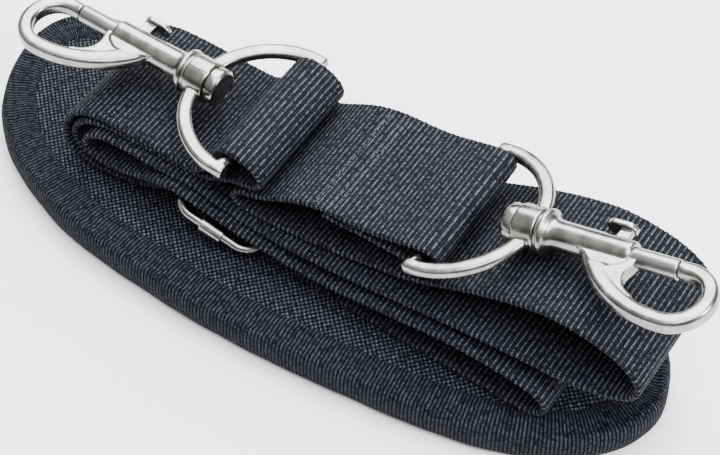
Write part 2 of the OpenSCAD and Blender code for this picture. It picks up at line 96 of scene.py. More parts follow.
def make_floor():
    half = 4.0
    me = bpy.data.meshes.new("floor")
    corners = [(-half, -half, 0), (half, -half, 0), (half, half, 0), (-half, half, 0)]
    me.from_pydata(corners, [], [(0, 1, 2, 3)])
    floor = bpy.data.objects.new("floor", me)
    floor.location.z = -0.0002
    bpy.context.scene.collection.objects.link(floor)
    mat = bpy.data.materials.new("floor_white")
    mat.use_nodes = True
    paint = mat.node_tree.nodes["Principled BSDF"]
    paint.inputs["Base Color"].default_value = (0.93, 0.93, 0.93, 1)
    paint.inputs["Roughness"].default_value = 0.9
    me.materials.append(mat)


def make_studio():
    make_world()
    area_light("key", (-0.35, 0.60, 0.85), (0, 0, 0), 0.9, 30)
    area_light("top", (0.15, -0.10, 1.2), (0, 0, 0), 1.1, 30)
    area_light("side", (0.65, 0.10, 0.40), (0, 0, 0.02), 0.22, 6)
    make_floor()


make_camera()
make_studio()


# ------------------------------------------------------------------ shader helpers
class Shader:
    """A material's node tree with short ways to add and wire nodes."""

    def __init__(self, name):
        self.mat = bpy.data.materials.new(name)
        self.mat.use_nodes = True
        self.tree = self.mat.node_tree
        self.bsdf = self.tree.nodes["Principled BSDF"]

    def node(self, kind, **settings):
        n = self.tree.nodes.new(kind)
        for k, v in settings.items():
            setattr(n, k, v)
        return n

    def wire(self, value, socket):
        if isinstance(value, bpy.types.NodeSocket):
            self.tree.links.new(value, socket)
        else:
            socket.default_value = value

    def math(self, op, a, b=0.0, c=None):
        n = self.node("ShaderNodeMath", operation=op)
        self.wire(a, n.inputs[0])
        self.wire(b, n.inputs[1])
        if c is not None:
            self.wire(c, n.inputs[2])
        return n.outputs[0]

    def smooth(self, x, low, high):
        n = self.node("ShaderNodeMapRange", interpolation_type="SMOOTHSTEP")
        self.wire(x, n.inputs["Value"])
        n.inputs["From Min"].default_value = low
        n.inputs["From Max"].default_value = high
        return n.outputs["Result"]

    def mix(self, f, a, b):
        n = self.node("ShaderNodeMix", data_type="RGBA")
        self.wire(f, n.inputs[0])
        self.wire(a, n.inputs[6])
        self.wire(b, n.inputs[7])
        return n.outputs[2]

    def texture(self, kind, scale):
        """A texture laid out in the piece's own space."""
        n = self.node(kind)
        n.inputs["Scale"].default_value = scale
        self.wire(self.node("ShaderNodeTexCoord").outputs["Object"], n.inputs["Vector"])
        return n

    def noise(self, scale, detail=2.0):
        n = self.texture("ShaderNodeTexNoise", scale)
        n.inputs["Detail"].default_value = detail
        return n.outputs[0]

    def yarns(self, ahead, across, rib_pitch, yarn_pitch):
        """How near a point is to a rib's top and to a yarn's top, with each row set off by half a yarn."""
        phase = self.math("DIVIDE", ahead, rib_pitch)
        rib = self.math("ABSOLUTE", self.math("COSINE", self.math("MULTIPLY", phase, math.pi)))
        row = self.math("FLOOR", self.math("ADD", phase, 0.5))
        turn = self.math("ADD", self.math("DIVIDE", across, yarn_pitch), self.math("MULTIPLY", row, 0.5))
        wave = self.math("COSINE", self.math("MULTIPLY", turn, 2 * math.pi))
        return rib, self.math("ADD", self.math("MULTIPLY", wave, 0.5), 0.5)

    def crest(self, mask, yarn, share):
        """The mask, dotted by the yarns for this share of its height."""
        dots = self.math("ADD", self.math("MULTIPLY", yarn, share), 1 - share)
        return self.math("MULTIPLY", mask, dots)

    def uv(self):
        """U and V of the piece's own map, in millimetres."""
        n = self.node("ShaderNodeUVMap", uv_map=UV_NAME)
        s = self.node("ShaderNodeSeparateXYZ")
        self.tree.links.new(n.outputs[0], s.inputs[0])
        return self.math("MULTIPLY", s.outputs[0], UV_MM), self.math("MULTIPLY", s.outputs[1], UV_MM)

    def set(self, **values):
        for k, v in values.items():
            self.wire(v, self.bsdf.inputs[k.replace("_", " ")])

    def bump(self, height, distance, strength=1.0):
        n = self.node("ShaderNodeBump")
        n.inputs["Strength"].default_value = strength
        n.inputs["Distance"].default_value = distance
        self.wire(height, n.inputs["Height"])
        self.tree.links.new(n.outputs[0], self.bsdf.inputs["Normal"])


UV_NAME = "cloth"
UV_MM = 100.0
RIB = 1.72            # pitch of the webbing's cross ribs, mm
TAPE_RIB = 1.3        # pitch of the binding tape's ribs, mm


def cloth_colour_with_painted_highlights(sh, highlight_amount, light):
    """Near-black cloth with painted highlights on the yarn crests, uneven from yarn to yarn."""
    dark, dusty = (0.0015, 0.0018, 0.0030, 1), (0.00225, 0.0027, 0.0045, 1)
    highlight_amount = sh.math("MULTIPLY", highlight_amount, sh.smooth(sh.noise(900, 2), 0.25, 0.75))
    base = sh.mix(sh.smooth(sh.noise(60, 3), 0.3, 0.7), dark, dusty)
    # Painted highlight: the crest mask mixes the dark cloth towards the light colour, standing in for light
    # on the yarn crests.
    return sh.mix(highlight_amount, base, (*light, 1))


def cloth(sh, crest, light, roughness):
    sh.set(Base_Color=cloth_colour_with_painted_highlights(sh, crest, light), Roughness=roughness)
    sh.set(Sheen_Weight=0.01, Sheen_Roughness=0.4, Specular_IOR_Level=0.05)


def webbing_cloth():
    """Cross ribs of dotted yarn, with a fainter dotted row between them, lit by painted highlights in the
    colour.
    """
    sh = Shader("webbing_cloth")
    u, s = sh.uv()
    rib, yarn = sh.yarns(s, u, RIB, 0.95)
    crest = sh.crest(sh.smooth(rib, 0.72, 1.0), yarn, 0.65)
    between = sh.math("MULTIPLY", sh.smooth(rib, 0.5, 0.1), sh.smooth(yarn, 0.55, 0.0))
    crest = sh.math("MAXIMUM", crest, sh.math("MULTIPLY", between, 0.38))
    # The light colour here is a painted highlight on the rib crests and on the fainter row between them.
    cloth(sh, crest, (0.112, 0.120, 0.143), 0.62)
    fibres = sh.math("MULTIPLY", sh.noise(2500, 1), 0.2)
    sh.bump(sh.math("ADD", sh.math("MULTIPLY", crest, 0.8), fibres), 0.00022, 0.9)
    return sh.mat


def tape_cloth():
    """Fine ribs across the binding tape, with painted highlights on their crests."""
    sh = Shader("tape_cloth")
    u, s = sh.uv()
    rib, yarn = sh.yarns(s, u, TAPE_RIB, 0.75)
    crest = sh.crest(sh.smooth(rib, 0.4, 0.98), yarn, 0.6)
    # The light colour here is a painted highlight on the tape's rib crests.
    cloth(sh, crest, (0.060, 0.065, 0.082), 0.75)
    sh.bump(crest, 0.0002, 0.8)
    return sh.mat


def panel_cloth():
    """Coarse basket weave, with painted highlights on its knots."""
    sh = Shader("panel_cloth")
    u, v = sh.uv()
    pitch = 1.9
    rising, falling = sh.math("ADD", u, v), sh.math("SUBTRACT", u, v)
    a = sh.math("SINE", sh.math("MULTIPLY", rising, math.pi / pitch))
    b = sh.math("SINE", sh.math("MULTIPLY", falling, math.pi / pitch))
    knots = sh.math("ABSOLUTE", sh.math("MULTIPLY", a, b))
    fine = sh.math("ABSOLUTE", sh.math("SINE", sh.math("MULTIPLY", rising, math.pi * 3 / pitch)))
    crest = sh.crest(sh.smooth(knots, 0.15, 0.8), fine, 0.4)
    # The light colour here is a painted highlight on the knots of the weave.
    cloth(sh, crest, (0.115, 0.125, 0.152), 0.7)
    sh.bump(crest, 0.0004, 0.9)
    return sh.mat


def nickel():
    """Satin nickel plate over cast zinc: warm grey, faint cloudiness, fine scratches."""
    sh = Shader("nickel_plate")
    cloud = sh.noise(180, 4)
    fine = sh.noise(2600, 3)
    tone = sh.mix(sh.smooth(cloud, 0.3, 0.7), (0.22, 0.212, 0.20, 1), (0.35, 0.34, 0.322, 1))
    rough = sh.math("ADD", sh.math("MULTIPLY", sh.smooth(cloud, 0.25, 0.75), 0.10), 0.19)
    sh.set(Base_Color=tone, Metallic=1.0, Roughness=rough)
    height = sh.math("ADD", sh.math("MULTIPLY", fine, 0.3), sh.math("MULTIPLY", sh.noise(500, 2), 0.7))
    sh.bump(height, 0.00006, 0.35)
    return sh.mat


def plain_steel():
    sh = Shader("plain_steel")
    tone = sh.mix(sh.noise(400, 2), (0.25, 0.25, 0.25, 1), (0.38, 0.372, 0.36, 1))
    sh.set(Base_Color=tone, Metallic=1.0, Roughness=0.3)
    sh.bump(sh.noise(1500, 2), 0.00004, 0.3)
    return sh.mat


def foam_skin():
    """Closed-cell foam."""
    sh = Shader("foam_skin")
    cells = sh.texture("ShaderNodeTexVoronoi", 1400).outputs[0]
    sh.set(Base_Color=sh.mix(cells, (0.012, 0.012, 0.014, 1), (0.03, 0.03, 0.033, 1)), Roughness=0.85)
    sh.bump(cells, 0.0002, 0.6)
    return sh.mat


def thread_skin():
    """Twisted sewing thread."""
    sh = Shader("sewing_thread")
    twist = sh.texture("ShaderNodeTexWave", 900).outputs[1]
    sh.set(Base_Color=sh.mix(twist, (0.012, 0.014, 0.02, 1), (0.05, 0.056, 0.07, 1)), Roughness=0.55)
    sh.bump(twist, 0.0001, 0.5)
    return sh.mat


WEBBING = webbing_cloth()
TAPE = tape_cloth()
PANEL = panel_cloth()
NICKEL = nickel()
STEEL = plain_steel()
FOAM = foam_skin()
THREAD = thread_skin()


# ------------------------------------------------------------------ mesh helpers
def mesh_piece(name, points, faces, mat, uv):
    """A smooth mesh of quads from millimetres, with its map given corner by corner."""
    me = bpy.data.meshes.new(name)
    points = np.asarray(points, float) * MM
    faces = np.asarray(faces, np.int32)
    n, m = faces.shape
    me.vertices.add(len(points))
    me.vertices.foreach_set("co", points.ravel())
    me.loops.add(n * m)
    me.loops.foreach_set("vertex_index", faces.ravel())
    me.polygons.add(n)
    me.polygons.foreach_set("loop_start", np.arange(0, n * m, m, dtype=np.int32))
    me.update(calc_edges=True)
    layer = me.uv_layers.new(name=UV_NAME)
    layer.data.foreach_set("uv", (np.asarray(uv, float) / UV_MM).ravel())
    me.polygons.foreach_set("use_smooth", np.full(n, True))
    me.materials.append(mat)
    me.validate()
    ob = bpy.data.objects.new(name, me)
    bpy.context.scene.collection.objects.link(ob)
    return ob


def grid_cells(rows, cols, close_rows):
    """Row and column of each cell of a grid that is closed across, and along too if asked."""
    return np.meshgrid(np.arange(rows if close_rows else rows - 1), np.arange(cols), indexing="ij")


def grid_faces(rows, cols, close_rows=False):
    """Quads of a grid whose point (r, c) is number r * cols + c."""
    r, c = grid_cells(rows, cols, close_rows)
    r2, c2 = (r + 1) % rows, (c + 1) % cols
    return np.stack([r * cols + c, r * cols + c2, r2 * cols + c2, r2 * cols + c], -1).reshape(-1, 4)


def grid_uv(u, v, u_end, v_end=None):
    """The map for grid_faces: u by column and v by row, with the values just past the seams."""
    close_rows = v_end is not None
    r, c = grid_cells(len(v), len(u), close_rows)
    u, v = np.append(u, u_end), np.append(v, v_end if close_rows else v[0])
    quad = [(c, r), (c + 1, r), (c + 1, r + 1), (c, r + 1)]
    return np.stack([np.stack([u[a], v[b]], -1) for a, b in quad], 2).reshape(-1, 2)


def smooth_path(points, step):
    """Even points about step apart on a smooth curve through the given ones, and their arc length."""
    p = np.asarray(points, float)
    t = np.concatenate([[0], np.cumsum(np.linalg.norm(np.diff(p[:, :2], axis=0), axis=1))])
    slope = np.gradient(p, t, axis=0)
    dense = []
    for i in range(len(p) - 1):
        h = t[i + 1] - t[i]
        k = np.linspace(0, 1, 9)[:-1, None]
        dense.append((2 * k**3 - 3 * k**2 + 1) * p[i] + (k**3 - 2 * k**2 + k) * h * slope[i]
                     + (3 * k**2 - 2 * k**3) * p[i + 1] + (k**3 - k**2) * h * slope[i + 1])
    dense = np.vstack(dense + [p[-1:]])
    s = np.concatenate([[0], np.cumsum(np.linalg.norm(np.diff(dense[:, :2], axis=0), axis=1))])
    n = int(round(s[-1] / step))
    even = np.linspace(0, s[-1], n + 1)
    return np.stack([np.interp(even, s, dense[:, k]) for k in range(3)], 1), even


# ------------------------------------------------------------------ the webbing
WEB_W = 47.0
WEB_T = 2.2
ROWS_PER_RIB = 6
RIB_DEPTH = 0.26
EDGE_R = 1.0
SIDE_FACING = -0.8     # a face on the webbing's low-y side looks further than this along -y
FIRST_STRETCH = "strap_right_tail"


def side_loop(mesh):
    """The closed line round the low-y side of one length of webbing, in millimetres."""
    points = np.array([v.co[:] for v in mesh.vertices]) / MM
    key = [tuple(np.round(p, 3)) for p in points]
    edges = set()
    for face in mesh.polygons:
        if face.normal.y < SIDE_FACING:
            ring = [key[i] for i in face.vertices]
            edges.update(zip(ring, ring[1:] + ring[:1]))
    ahead = {a: b for a, b in edges if (b, a) not in edges}
    loop = [min(ahead)]
    while ahead[loop[-1]] != loop[0]:
        loop.append(ahead[loop[-1]])
    return np.array(loop)


def stretch_line(mesh):
    """The centre line of one length of webbing: x, z, and the middle of the width in y.

    Its side loop runs out along one face and back along the other. The start that puts
    every point a webbing's thickness from its partner is where the two faces meet."""
    loop = side_loop(mesh)
    count = len(loop) // 2
    turns = [np.roll(loop, -k, 0) for k in range(2 * count)]
    pairs = [(t[:count], t[count:][::-1]) for t in turns]
    near, far = min(pairs, key=lambda p: np.abs(np.linalg.norm(p[0] - p[1], axis=1) - WEB_T).max())
    middle = (near + far) / 2
    return np.column_stack([middle[:, 0], middle[:, 2], middle[:, 1] + WEB_W / 2])


def web_path(lines):
    """The lengths' centre lines joined end to end, from the free end of the right tail."""
    rest = dict(lines)
    first = rest.pop(FIRST_STRETCH)

    def gap(a, b):
        return float(np.linalg.norm(a - b))

    def reach(point, name):
        return min(gap(point, rest[name][0]), gap(point, rest[name][-1]))

    def nearest(point):
        return min(rest, key=lambda name: reach(point, name))

    out_end, in_end = first[-1], first[0]
    joined_last = reach(out_end, nearest(out_end)) < reach(in_end, nearest(in_end))
    path = [first if joined_last else first[::-1]]
    while rest:
        end = path[-1][-1]
        line = rest.pop(nearest(end))
        ahead = line if gap(end, line[0]) < gap(end, line[-1]) else line[::-1]
        path.append(ahead[1:])
    return np.round(np.vstack(path), 2)


def webbing_section():
    """Half the flat width, how many points lie on a face and round an edge, and the outline.

    The outline holds for each point its place across, its side (up or down) and its reach past
    the edge. It runs over the top face, round an edge, back under, and round the other edge."""
    half = WEB_W / 2 - EDGE_R
    flat = np.linspace(-half, half, 19)
    turn = np.radians(np.array([72, 48, 24, 0, -24, -48, -72]))
    outline = ([(u, 1.0, 0.0) for u in flat] + [(half, math.sin(a), math.cos(a)) for a in turn]
               + [(u, -1.0, 0.0) for u in flat[::-1]]
               + [(-half, -math.sin(a), -math.cos(a)) for a in turn])
    return half, len(flat), len(turn), np.array(outline).T


def end_quads(first, flat, turn, last):
    """Quads that close the webbing's cut end: between the faces, then in each rounded edge."""
    ring = [first + i for i in range(2 * (flat + turn))]
    back = flat + turn + flat - 1
    quads = [(ring[i], ring[i + 1], ring[back - 1 - i], ring[back - i]) for i in range(flat - 1)]
    right = ring[flat - 1:flat + turn + 1]
    left = ring[2 * flat + turn - 1:] + ring[:1]
    for edge in (right, left):
        for i in range(len(edge) // 2):
            a, b, c, d = edge[i], edge[i + 1], edge[-2 - i], edge[-1 - i]
            if b != c:
                quads.append((a, b, c, d))
    return quads if last else [q[::-1] for q in quads]


def make_webbing():
    stretches = {n: stretch_line(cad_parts[n].data) for n in strap_nodes}
    line, s = smooth_path(web_path(stretches), RIB / ROWS_PER_RIB)
    rows = len(line)
    slope = np.gradient(line[:, :2], s, axis=0)
    slope /= np.linalg.norm(slope, axis=1, keepdims=True)
    normal = np.stack([-slope[:, 1], slope[:, 0]], 1)
    drift = 0.22 * np.sin(s / 37.0) + 0.12 * np.sin(s / 11.3 + 1.0)
    rib = np.abs(np.cos(math.pi * s / RIB)) ** 0.75
    pick = np.where(np.floor(s / RIB + 0.5) % 2 == 0, 1.0, -1.0)
    half, flat, turn, (base, up, out) = webbing_section()
    cols = len(base)
    thick = (WEB_T / 2 - RIB_DEPTH) + RIB_DEPTH * rib
    selvedge = EDGE_R * (0.78 + 0.34 * rib * (0.75 + 0.25 * pick))
    curl = 0.10 * (base / half) ** 4
    lift = up[None, :] * thick[:, None] + curl[None, :] * np.sin(s / 23.0)[:, None]
    pts = np.empty((rows, cols, 3))
    pts[..., 0] = line[:, :1] + normal[:, :1] * lift
    pts[..., 1] = (line[:, 2] + drift)[:, None] + base[None, :] + out[None, :] * selvedge[:, None]
    pts[..., 2] = line[:, 1:2] + normal[:, 1:] * lift
    steps = np.hypot(np.diff(base + out * EDGE_R), np.diff(up * WEB_T / 2))
    girth = np.concatenate([[0], np.cumsum(steps)])
    ends = end_quads(0, flat, turn, False) + end_quads((rows - 1) * cols, flat, turn, True)
    faces = np.vstack([grid_faces(rows, cols), ends])
    uv = np.vstack([grid_uv(girth, s, girth[-1] + 1.0), [(0.0, 0.0)] * (4 * len(ends))])
    return mesh_piece("strap_webbing", pts.reshape(-1, 3), faces, WEBBING, uv), line, s, normal


strap_nodes = sorted(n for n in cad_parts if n.startswith("strap_"))
webbing, web_line, web_s, web_normal = make_webbing()
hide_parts(*strap_nodes)
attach(webbing, "strap_assembly")


# ------------------------------------------------------------------ stitching
THREAD_R = 0.24
STITCH_RUN = 2.3
STITCH_GAP = 0.55
STITCH_SINK = 0.22


def stitch_rows(name, rows, mat):
    """Short raised stitches: each row is (points on the cloth, surface normals)."""
    parts = []
    for pts, normals in rows:
        s = np.concatenate([[0], np.cumsum(np.linalg.norm(np.diff(pts, axis=0), axis=1))])
        for k in range(int(s[-1] // (STITCH_RUN + STITCH_GAP))):
            t = np.linspace(0, 1, 9)
            at = k * (STITCH_RUN + STITCH_GAP) + 0.3 + t * STITCH_RUN
            p = np.stack([np.interp(at, s, pts[:, i]) for i in range(3)], 1)
            n = np.stack([np.interp(at, s, normals[:, i]) for i in range(3)], 1)
            lift = (0.36 * np.sin(math.pi * t) ** 0.6 - STITCH_SINK)[:, None]
            side = np.cross(n[4], p[-1] - p[0])
            side /= np.linalg.norm(side)
            parts.append(sweep(p + n * lift, (2 * THREAD_R, 1.6 * THREAD_R), side=side, cols=8))
    ob = raw_object(parts, name)
    ob.data.materials.append(mat)
    ob.data.polygons.foreach_set("use_smooth", [True] * len(ob.data.polygons))
    return ob


def across_web(x_at, above, span=22.0):
    """A line across the webbing where the stretch nearest (x, z) passes."""
    k = int(np.argmin(np.hypot(web_line[:, 0] - x_at, web_line[:, 1] - above)))
    n2 = web_normal[k] if web_normal[k][1] > 0 else -web_normal[k]
    t = np.linspace(-span, span, 60)
    wob = 0.12 * np.sin(t / 3.1)
    p = np.column_stack([web_line[k, 0] + wob, web_line[k, 2] + t, np.full(60, web_line[k, 1])])
    n = np.tile([n2[0], 0.0, n2[1]], (60, 1))
    return p + n * (WEB_T / 2), n


# ------------------------------------------------------------------ the pad
PAD_EDGE = [
    (-117, -17), (-104, -27.5), (-79, -38.2), (-54, -43), (-20, -45.4), (10, -45), (40, -42.4),
    (68, -38.8), (90, -34), (110, -25), (122.5, -13), (128.6, 1), (127, 13), (120, 25), (107, 34),
    (85, 39), (50, 41.6), (10, 42.4), (-30, 42.8), (-70, 43), (-100, 42), (-117.5, 38.6),
    (-127, 31), (-130.8, 20), (-129.6, 8), (-124.8, -5.4),
]


def closed_curve(control, step):
    c = np.asarray(control, float)
    t = np.linspace(0, 1, 33)[:-1, None]
    parts = []
    for i in range(len(c)):
        a, b, d, e = c[i - 1], c[i], c[(i + 1) % len(c)], c[(i + 2) % len(c)]
        parts.append(0.5 * (2 * b + (d - a) * t + (2 * a - 5 * b + 4 * d - e) * t**2
                            + (3 * b - a - 3 * d + e) * t**3))
    p = np.vstack(parts + [parts[0][:1]])
    s = np.concatenate([[0], np.cumsum(np.linalg.norm(np.diff(p, axis=0), axis=1))])
    n = int(round(s[-1] / step))
    even = np.linspace(0, s[-1], n + 1)[:-1]
    q = np.stack([np.interp(even, s, p[:, k]) for k in range(2)], 1)
    ahead = np.roll(q, -6, 0) - np.roll(q, 6, 0)
    ahead /= np.linalg.norm(ahead, axis=1, keepdims=True)
    return q, np.stack([-ahead[:, 1], ahead[:, 0]], 1), even, s[-1]


def ripple(s, length, seed, waves=(5, 9, 14, 23, 37)):
    """A smooth closed random wave along the edge, from -1 to 1."""
    rng = np.random.default_rng(seed)
    total = sum(np.sin(2 * math.pi * k * s / length + rng.uniform(0, 6.28)) for k in waves)
    return total / len(waves) * 1.6


# The binding's outline as (distance in from the pad's edge, height): under the pad, up the side,
# over the top, and back along its inner face.
TAPE_PROFILE = [
    (11.2, 1.3), (9, 0.12), (5, 0.0), (2.6, 0.15), (1.3, 0.7), (0.55, 1.7), (0.2, 3.0), (0.05, 4.6),
    (0.0, 6.2), (0.05, 7.8), (0.2, 9.2), (0.45, 10.4), (0.85, 11.5), (1.4, 12.3), (2.0, 12.75),
    (2.7, 12.9), (3.4, 12.7), (4.1, 12.45), (5.0, 12.5), (6.2, 12.7), (7.6, 12.85), (9.0, 12.8),
    (10.2, 12.6), (11.2, 12.35), (12.0, 12.0), (12.4, 11.5), (11.8, 11.1), (10.0, 11.1), (7.0, 11.2),
    (3.6, 11.2), (2.1, 10.6), (1.4, 9.4), (1.1, 7.6), (1.0, 5.5), (1.2, 3.2), (1.9, 2.0), (4.0, 1.4),
    (8.0, 1.3)]
OUTER_FACE, TOP_BAND, SIDE_BAND = slice(1, 25), slice(16, 24), slice(5, 13)
FLAT_BELOW = 3.0     # under this height the tape lies flat and takes no ripple in z
TAPE_TOP = 13.1


def make_binding():
    q, inward, s, length = closed_curve(PAD_EDGE, 0.24)
    count = round(length / TAPE_RIB)
    rib = np.abs(np.cos(math.pi * s * count / length)) ** 0.8
    profile = np.array(TAPE_PROFILE)
    d, z = profile.T
    outer, top, side = np.zeros((3, len(d)))
    outer[OUTER_FACE] = top[TOP_BAND] = side[SIDE_BAND] = 1.0
    along = np.gradient(profile, axis=0)
    along /= np.linalg.norm(along, axis=1, keepdims=True)
    pucker = ripple(s, length, 5, (43, 61, 79, 97, 131))
    slow = ripple(s, length, 8)
    push = (outer[None, :] * (0.13 * (rib - 0.6))[:, None] + 0.16 * top[None, :] * pucker[:, None]
            + 0.18 * side[None, :] * slow[:, None])
    inset = d[None, :] + along[:, 1][None, :] * push
    height = z[None, :] - along[:, 0][None, :] * push * np.where(z > FLAT_BELOW, 1, 0.0)[None, :]
    pts = np.empty((len(s), len(d), 3))
    pts[..., :2] = q[:, None] + inward[:, None] * inset[..., None]
    pts[..., 2] = np.clip(height, 0.0, TAPE_TOP)
    girth = np.concatenate([[0], np.cumsum(np.linalg.norm(np.diff(profile, axis=0), axis=1))])
    run = count * TAPE_RIB
    uv = grid_uv(girth, s * (run / length), girth[-1] + 1, run)
    faces = grid_faces(len(s), len(d), close_rows=True)
    return mesh_piece("pad_binding_tape", pts.reshape(-1, 3), faces, TAPE, uv)


def pad_spine(q):
    """The nearest point on the pad's middle line, for each edge point."""
    x = np.clip(q[:, 0], -88, 86)
    y = np.interp(x, [-100, -60, -20, 20, 60, 100], [7.5, 1.5, -1.3, -1.2, 1.5, 6.0])
    return np.stack([x, y], 1)


def make_panel(name, rings, mat, step=0.9):
    """A closed disc-like form from rings of (inset, share of the way to the middle line, height)."""
    q, inward, _, _ = closed_curve(PAD_EDGE, step)
    spine = pad_spine(q)
    pts = []
    for inset, share, z in rings:
        edge = q + inward * inset
        ring = edge + (spine - edge) * share
        pts.append(np.column_stack([ring, np.full(len(q), z)]))
    pts = np.stack(pts, 1)
    rows, cols = pts.shape[:2]
    faces = grid_faces(rows, cols, close_rows=True)
    flat = pts.reshape(-1, 3)
    uv = flat[faces.ravel()][:, :2]
    return mesh_piece(name, flat, faces, mat, uv)


def crowned(z_edge, z_mid, inset):
    """Rings from a sewn edge to the middle, rising as a stuffed panel does."""
    share = np.linspace(0, 1, 26)
    return [(inset, k * 0.985, z_edge + (z_mid - z_edge) * (1 - (1 - k) ** 2.6)) for k in share]


PANEL_T = 0.9
TOP_INSET, BASE_INSET = 11.0, 9.0
# The foam's outline as (distance in from the edge, share of the way to the middle line, height)
CORE_RINGS = [
    (11.0, 0.98, 1.4), (8.0, 0.3, 1.45), (6.0, 0.0, 1.6), (3.6, 0.0, 2.4), (2.4, 0.0, 4.2),
    (2.0, 0.0, 6.4), (2.4, 0.0, 8.6), (3.4, 0.0, 10.2), (5.5, 0.0, 10.7), (8.5, 0.0, 10.75),
    (11.0, 0.3, 11.0), (11.0, 0.98, 11.6)]


def make_pad():
    top = crowned(11.6, 12.95, TOP_INSET)
    low = crowned(0.9, 0.0, BASE_INSET)
    binding = make_binding()
    panel = make_panel("pad_top_panel", top + [(i, k, z - PANEL_T) for i, k, z in top[::-1]], PANEL)
    base = make_panel("pad_base_panel", [(i, k, z + PANEL_T) for i, k, z in low] + low[::-1], PANEL)
    core = make_panel("pad_foam_core", CORE_RINGS, FOAM, 1.6)
    roles = ((binding, "pad_binding", "binding_tape"), (panel, "pad_top_cover", "pad_cloth"),
             (base, "pad_base_cover", "pad_cloth"), (core, "pad_foam", "foam"))
    for ob, node, slot in roles:
        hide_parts(node)
        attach(ob, "strap_assembly")
    return binding, panel, base, core


binding, panel, base_panel, core = make_pad()


# ------------------------------------------------------------------ metal
def capped(rows, cols):
    """Faces of a closed-ended tube of rings."""
    last = (rows - 1) * cols
    return grid_faces(rows, cols).tolist() + [list(range(cols)), list(range(last, last + cols))[::-1]]


def sweep(path, size, side=(0, 0, 1), power=2.0, cols=28):
    """Points and faces of a bar along a path: size is (across, along side) for each point.

    A power of 2 gives an ellipse, and a higher one flattens its faces."""
    p = np.asarray(path, float)
    size = np.broadcast_to(np.asarray(size, float), (len(p), 2))
    power = np.broadcast_to(np.asarray(power, float), (len(p),))
    t = np.gradient(p, axis=0)
    t /= np.linalg.norm(t, axis=1, keepdims=True)
    b = np.broadcast_to(np.asarray(side, float), p.shape)
    a = np.cross(b, t)
    ang = np.linspace(0, 2 * math.pi, cols, endpoint=False)
    c, d = np.cos(ang), np.sin(ang)
    e = (2.0 / power)[:, None]
    u = np.sign(c) * np.abs(c) ** e * size[:, :1] / 2
    v = np.sign(d) * np.abs(d) ** e * size[:, 1:] / 2
    pts = p[:, None] + a[:, None] * u[..., None] + b[:, None] * v[..., None]
    return pts.reshape(-1, 3), capped(len(p), cols)


def lathe(profile, cols=72, axis=0, centre=(0, 0, 0)):
    """Points and faces of a form turned about an axis, from (along, radius) pairs."""
    prof = np.asarray(profile, float)
    ang = np.linspace(0, 2 * math.pi, cols, endpoint=False)
    pts = np.zeros((len(prof), cols, 3))
    i, j = [(1, 2), (2, 0), (0, 1)][axis]
    pts[..., axis] = prof[:, 0][:, None]
    pts[..., i] = prof[:, 1][:, None] * np.cos(ang)
    pts[..., j] = prof[:, 1][:, None] * np.sin(ang)
    return pts.reshape(-1, 3) + np.asarray(centre, float), capped(len(prof), cols)


def slab(outline, half, bevel):
    """Points and faces of a flat plate in x and y with softened rims."""
    o = np.asarray(outline, float)
    ahead = np.roll(o, -1, 0) - np.roll(o, 1, 0)
    ahead /= np.linalg.norm(ahead, axis=1, keepdims=True)
    inward = np.stack([-ahead[:, 1], ahead[:, 0]], 1)
    rings = [np.column_stack([o + inward * i, np.full(len(o), z)])
             for i, z in ((bevel, -half), (0, bevel - half), (0, half - bevel), (bevel, half))]
    return np.vstack(rings), capped(4, len(o))


def raw_object(parts, name="part"):
    """One object holding closed parts given in millimetres."""
    bm = bmesh.new()
    for pts, faces in parts:
        verts = [bm.verts.new(Vector(p) * MM) for p in pts]
        for f in faces:
            bm.faces.new([verts[i] for i in f])
    bmesh.ops.recalc_face_normals(bm, faces=bm.faces)
    me = bpy.data.meshes.new(name)
    bm.to_mesh(me)
    bm.free()
    ob = bpy.data.objects.new(name, me)
    bpy.context.scene.collection.objects.link(ob)
    return ob


def with_modifiers(ob, settings):
    """The object's mesh after a list of (type, {settings}) modifiers."""
    for kind, values in settings:
        m = ob.modifiers.new(kind, kind)
        for k, v in values.items():
            setattr(m, k, v)
    bpy.context.view_layer.update()
    me = bpy.data.meshes.new_from_object(ob.evaluated_get(bpy.context.evaluated_depsgraph_get()))
    ob.modifiers.clear()
    old = ob.data
    ob.data = me
    bpy.data.meshes.remove(old)
    return ob


def drill(ob, cuts):
    for shape in cuts:
        tool = raw_object([shape], "drill")
        cutter = {"operation": "DIFFERENCE", "object": tool, "solver": "EXACT"}
        with_modifiers(ob, [("BOOLEAN", cutter)])
        bpy.data.objects.remove(tool)


def finish_metal(ob, place, mat, crease):
    """Moves a part from the hook's own frame to its place, and shades it smooth up to its creases."""
    ob.data.transform(place)
    ob.data.materials.clear()
    ob.data.materials.append(mat)
    ob.data.polygons.foreach_set("use_smooth", [True] * len(ob.data.polygons))
    ob.data.set_sharp_from_angle(angle=math.radians(crease))
    ob.data.name = ob.name
    return ob


def cast(name, parts, cuts, place, mat, voxel=0.26, soften=4):
    """A casting: the parts melted together, softened, then drilled."""
    ob = raw_object(parts, name)
    melt = {"mode": "VOXEL", "voxel_size": voxel * MM, "use_smooth_shade": True}
    with_modifiers(ob, [("REMESH", melt), ("SMOOTH", {"factor": 0.5, "iterations": soften})])
    drill(ob, cuts)
    return finish_metal(ob, place, mat, 50)


def turned(name, profile, place, mat, cuts=()):
    """A lathe-turned part."""
    ob = raw_object([lathe(profile)], name)
    drill(ob, cuts)
    return finish_metal(ob, place, mat, 35)


HUB_R, HUB_HALF, POST_R, BORE_R = 7.0, 4.0, 3.8, 3.15
RUN_GAP = 0.05
BOW_R, BAR_R = 26.7, 2.1
BEND_AT, BEND_R = (53.6, -9.9), 9.9
BACK_AT, BACK_R = (53.6, 17.1), 36.9


def arc(centre, radius, start, stop, n):
    a = np.radians(np.linspace(start, stop, n))
    return np.column_stack([centre[0] + radius * np.cos(a), centre[1] + radius * np.sin(a), np.zeros(n)])


